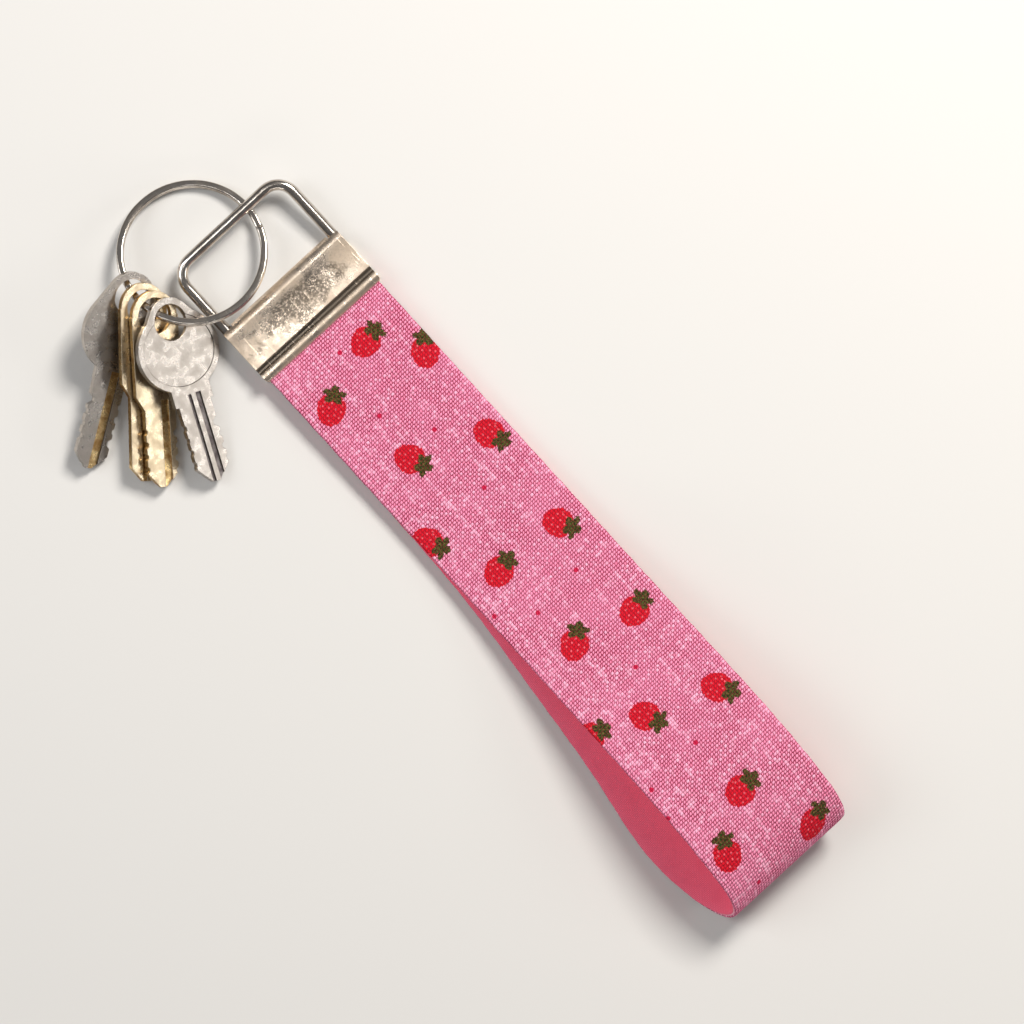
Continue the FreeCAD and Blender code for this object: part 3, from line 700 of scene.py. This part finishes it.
def lay_strip(name, outer, inner, across, along, finish, edge_wave, edge_inset, marks=False):
    """One closed layer between two distances outside the strap's middle surface."""
    bpy.ops.object.select_all(action="DESELECT")
    bpy.ops.mesh.primitive_grid_add(x_subdivisions=across, y_subdivisions=along, size=1)
    piece = bpy.context.object
    piece.name = name
    mesh = piece.data
    flat = np.empty(len(mesh.vertices) * 3)
    mesh.vertices.foreach_get("co", flat)
    flat = flat.reshape(-1, 3)[:, :2] + 0.5
    side = flat[:, 0] * 2 - 1
    travel = flat[:, 1] * strap_length
    cloth = np.stack([side * STRAP_WIDTH / 2, travel], axis=1)
    uv = mesh.uv_layers[0]
    uv.name = "cloth"
    corner_vertex = np.empty(len(mesh.loops), dtype=np.int64)
    mesh.loops.foreach_get("vertex_index", corner_vertex)
    uv.data.foreach_set("uv", cloth[corner_vertex].ravel())
    if marks:
        nearest_mark_map(mesh, "berry", laid_out(BERRIES), cloth, True)
        nearest_mark_map(mesh, "dot", laid_out(DOTS), cloth, False)
    places, outward, length = even_course(1200)
    stations = np.linspace(0, length, len(places))
    here = np.stack([np.interp(travel, stations, places[:, axis]) for axis in range(3)], axis=1)
    out = np.stack([np.interp(travel, stations, outward[:, axis]) for axis in range(3)], axis=1)
    wave = ragged(travel, edge_wave, 1.0 + side) * np.abs(side) ** 6
    here[:, 0] += side * (STRAP_WIDTH / 2 - edge_inset) + wave
    rounded = 1 - np.clip((np.abs(side) - EDGE_STARTS) / EDGE_SHARE, 0, 1) ** 2 * EDGE_THINNING
    middle = (outer + inner) / 2
    here += out * (middle * rounded)[:, None]
    mesh.vertices.foreach_set("co", (here * MM).ravel())
    piece.data.materials.append(finish)
    thick = piece.modifiers.new("thickness", "SOLIDIFY")
    thick.thickness = (outer - inner) * MM
    thick.offset = 0
    thick.use_even_offset = False
    bpy.ops.object.modifier_apply(modifier=thick.name)
    edge = piece.modifiers.new("soft edge", "BEVEL")
    edge.width = SOFT_EDGE
    edge.segments = 2
    edge.limit_method = "ANGLE"
    edge.angle_limit = math.radians(60)
    bpy.ops.object.modifier_apply(modifier=edge.name)
    bpy.ops.object.shade_smooth()
    print(name, len(mesh.polygons), "faces")
    return piece


# %% [markdown]
# Three cloth finishes. The outer canvas is a pink plain weave of light and dark yarns with the print on
# it: the gaps between the yarns are painted dark as shade, in the ground and still darker inside every
# berry, so the weave shows through the print. The backing is a finer, smoother raspberry cloth. The
# stiffener shows only as a pale line along the cut edges. Both also have their yarn gaps painted a
# little darker as shade.

# %% Cloth finishes


def cloth_base(name, roughness, sheen):
    made, graph, shader = new_material(name)
    shader["Roughness"].default_value = roughness
    shader["Sheen Weight"].default_value = sheen
    shader["Sheen Roughness"].default_value = 0.5
    shader["Specular IOR Level"].default_value = 0.1
    cloth = graph.add("ShaderNodeUVMap", uv_map="cloth").outputs[0]
    return made, graph, shader, cloth


def printed_canvas():
    made, graph, shader, cloth = cloth_base("printed_canvas", 0.95, 0.0)
    yarns = graph.group(weave, {"Cloth": cloth, "Pitch": 0.66, "Unevenness": 0.4, "Slant": 0.45})
    motif_place = graph.add("ShaderNodeUVMap", uv_map="berry").outputs[0]
    motif = graph.group(berry, {"Place": motif_place, "Cloth": cloth})
    dot_place = graph.add("ShaderNodeUVMap", uv_map="dot").outputs[0]
    from_dot = graph.add("ShaderNodeVectorMath", {0: dot_place}, operation="LENGTH").outputs["Value"]
    dot = graph.ramp(from_dot, 0.42, 0.62, 1.0, 0.0)
    # Painted shade: the gaps between the yarns are coloured a dark red-black.
    ground = graph.blend(yarns["Gap"], (0.92, 0.29, 0.45), (0.30, 0.030, 0.075))
    ground = graph.blend(graph.ramp(yarns["Tone"], 0.5, 0.95, 0.0, 0.8), ground, (1.0, 0.50, 0.66))
    ground = graph.blend(graph.ramp(yarns["Tone"], 0.05, 0.3, 0.4, 0.0), ground, (0.66, 0.13, 0.24))
    faded = graph.noise(cloth, 0.09, 3.0, 0.55)
    ground = graph.blend(graph.ramp(faded, 0.35, 0.7, 0.0, 0.25), ground, (0.93, 0.30, 0.48))
    red = graph.blend(motif["Shade"], (0.50, 0.006, 0.014), (0.74, 0.012, 0.028))
    red = graph.blend(graph.math("MULTIPLY", motif["Seeds"], 0.65), red, (0.95, 0.20, 0.24))
    green = graph.blend(graph.ramp(motif["Shade"], 0.42, 0.66), (0.016, 0.034, 0.006), (0.105, 0.115, 0.028))
    printed = graph.blend(motif["Body"], ground, red)
    printed = graph.blend(dot, printed, (0.55, 0.015, 0.06))
    printed = graph.blend(motif["Leaves"], printed, green)
    marked = graph.math("MAXIMUM", motif["Body"], motif["Leaves"])
    # Painted shade again: the gaps are darkened further, a fifth of the way outside the print and about two
    # fifths inside it.
    printed = graph.blend(graph.math("MULTIPLY", yarns["Gap"], graph.ramp(marked, 0.0, 1.0, 0.2, 0.42)),
                          printed, (0.22, 0.015, 0.035))
    graph.feed(shader["Base Color"], printed)
    relief = graph.math("ADD", yarns["Height"], graph.math("MULTIPLY", graph.noise(cloth, 9.0, 2.0), 0.3))
    bump = graph.add("ShaderNodeBump", {"Height": relief, "Strength": 0.95, "Distance": 0.00028})
    graph.feed(shader["Normal"], bump.outputs[0])
    return made


def plain_cloth(name, light, dark, pitch, roughness, strength):
    made, graph, shader, cloth = cloth_base(name, roughness, 0.04)
    yarns = graph.group(weave, {"Cloth": cloth, "Pitch": pitch, "Unevenness": 0.2})
    # Painted shade: the gaps between the yarns take the darker colour; large random blotches take it too.
    tone = graph.blend(yarns["Gap"], light, dark)
    tone = graph.blend(graph.ramp(graph.noise(cloth, 0.25, 3.0, 0.6), 0.4, 0.7, 0.0, 0.35), tone, dark)
    graph.feed(shader["Base Color"], tone)
    bump = graph.add("ShaderNodeBump", {"Height": yarns["Height"], "Strength": strength,
                                        "Distance": 0.00012})
    graph.feed(shader["Normal"], bump.outputs[0])
    return made


canvas_finish = printed_canvas()
backing_finish = plain_cloth("raspberry_backing", (1.0, 0.19, 0.29), (0.82, 0.12, 0.20), 0.34, 0.8, 0.4)
edge_finish = plain_cloth("pale_stiffener", (0.88, 0.48, 0.56), (0.74, 0.28, 0.38), 0.4, 0.9, 0.5)

# %% Lay the three layers
HALF = THICKNESS / 2
LAYER = THICKNESS / 3
canvas = lay_strip("strap_canvas", HALF, HALF - LAYER, 36, 620, canvas_finish, 0.06, 0.0, marks=True)
stiffener = lay_strip("strap_stiffener", HALF - LAYER, LAYER - HALF, 12, 420, edge_finish, 0.04, 0.1)
backing = lay_strip("strap_backing", LAYER - HALF, -HALF, 20, 420, backing_finish, 0.05, 0.04)

for layer in (canvas, stiffener, backing):
    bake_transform(layer)
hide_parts("strap_print", "strap_ends")
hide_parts("strap_core")
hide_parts("strap_lining")
